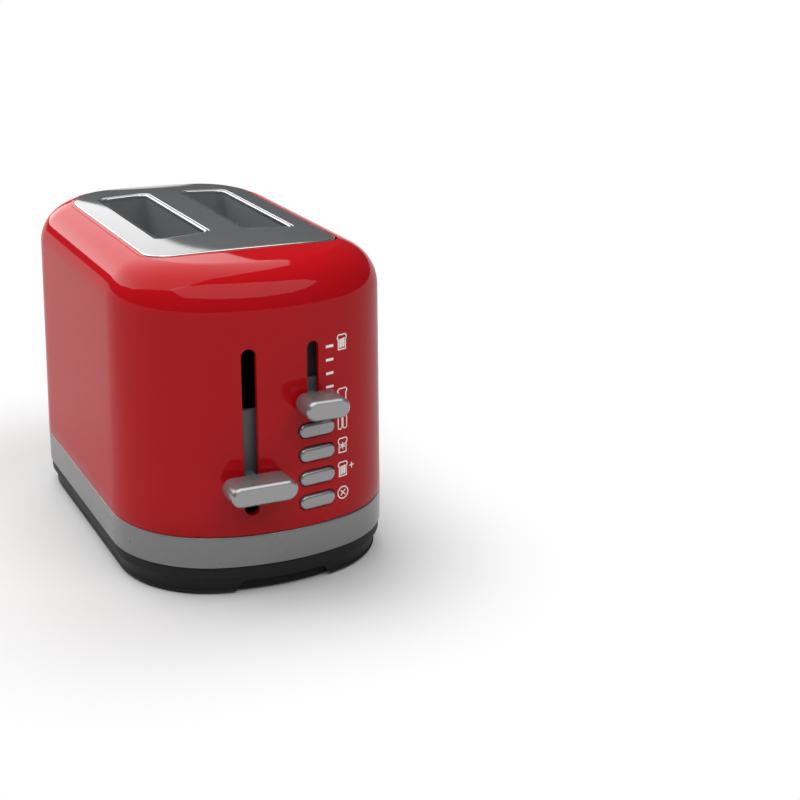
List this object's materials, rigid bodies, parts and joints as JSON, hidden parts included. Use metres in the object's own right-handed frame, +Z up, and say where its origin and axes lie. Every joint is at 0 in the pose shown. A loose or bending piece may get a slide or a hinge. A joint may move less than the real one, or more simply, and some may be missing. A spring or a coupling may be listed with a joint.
{
  "type": "toy toaster",
  "caption": "Toy pop-up toaster: bowed red housing on a black tray base, domed top panel with bread wells, press-down lever with carriage, browning slider and function buttons.",
  "frame": {"origin": "on the floor under the middle of the whole toy, knobs included", "axes": "+Z up; the front with the controls faces -Y; +X is to the right seen from the front; +Y is the long way, towards the back"},
  "size_m": [0.12, 0.2114, 0.1395],
  "materials": {
    "red_gloss_plastic": "high gloss",
    "satin_metal_look": "satin silver paint",
    "black_plastic": "satin",
    "grey_plastic": "satin",
    "natural_plastic": "satin",
    "bright_steel": "bright zinc",
    "rubber": "matt"
  },
  "bodies": {
    "housing": {"body_shell": "red_gloss_plastic", "trim_band": "satin_metal_look", "base": "black_plastic", "base_screw_1": "bright_steel", "base_screw_2": "bright_steel", "base_screw_3": "bright_steel", "base_screw_4": "bright_steel", "foot_1": "rubber", "foot_2": "rubber", "foot_3": "rubber", "foot_4": "rubber", "top_panel": "satin_metal_look", "bread_well_1": "satin_metal_look", "bread_well_2": "satin_metal_look", "chassis": "black_plastic", "guide_rod_1": "bright_steel", "guide_rod_2": "bright_steel", "lift_spring": "bright_steel", "timer_case": "grey_plastic", "control_frame": "grey_plastic", "frame_screw_1": "bright_steel", "frame_screw_2": "bright_steel", "button_spring_1": "bright_steel", "button_spring_2": "bright_steel", "button_spring_3": "bright_steel", "button_spring_4": "bright_steel"},
    "lift": {"carriage": "black_plastic", "bread_lift_1": "grey_plastic", "bread_lift_2": "grey_plastic", "lever_stem": "grey_plastic", "lever_knob": "satin_metal_look"},
    "pinion": {"timer_pinion": "natural_plastic"},
    "browning": {"browning_slider": "grey_plastic", "browning_knob": "satin_metal_look"},
    "press_1": {"button_1": "satin_metal_look"},
    "press_2": {"button_2": "satin_metal_look"},
    "press_3": {"button_3": "satin_metal_look"},
    "press_4": {"button_4": "satin_metal_look"}
  },
  "joints": [
    {"name": "lever_slide", "type": "slide", "parent": "housing", "child": "lift", "axis": [0, 0, 1], "range_m": [0, 0.042], "deforming": ["lift_spring"]},
    {"name": "pinion_spin", "type": "hinge", "parent": "housing", "child": "pinion", "pos_m": [0.0105, -0.05835, 0.057], "axis": [1, 0, 0], "range_deg": [0, 402]},
    {"name": "browning_slide", "type": "slide", "parent": "housing", "child": "browning", "axis": [0, 0, 1], "range_m": [0, 0.0205]},
    {"name": "button_1_press", "type": "slide", "parent": "housing", "child": "press_1", "axis": [0, 1, 0], "range_m": [0, 0.0015], "stiffness_N_per_m": 100, "springref_m": -0.004, "deforming": ["button_spring_1"]},
    {"name": "button_2_press", "type": "slide", "parent": "housing", "child": "press_2", "axis": [0, 1, 0], "range_m": [0, 0.0015], "stiffness_N_per_m": 100, "springref_m": -0.004, "deforming": ["button_spring_2"]},
    {"name": "button_3_press", "type": "slide", "parent": "housing", "child": "press_3", "axis": [0, 1, 0], "range_m": [0, 0.0015], "stiffness_N_per_m": 100, "springref_m": -0.004, "deforming": ["button_spring_3"]},
    {"name": "button_4_press", "type": "slide", "parent": "housing", "child": "press_4", "axis": [0, 1, 0], "range_m": [0, 0.0015], "stiffness_N_per_m": 100, "springref_m": -0.004, "deforming": ["button_spring_4"]}
  ],
  "couplings": [
    {"joint": "pinion_spin", "follows": "lever_slide", "rad_per_m": 166.67}
  ]
}
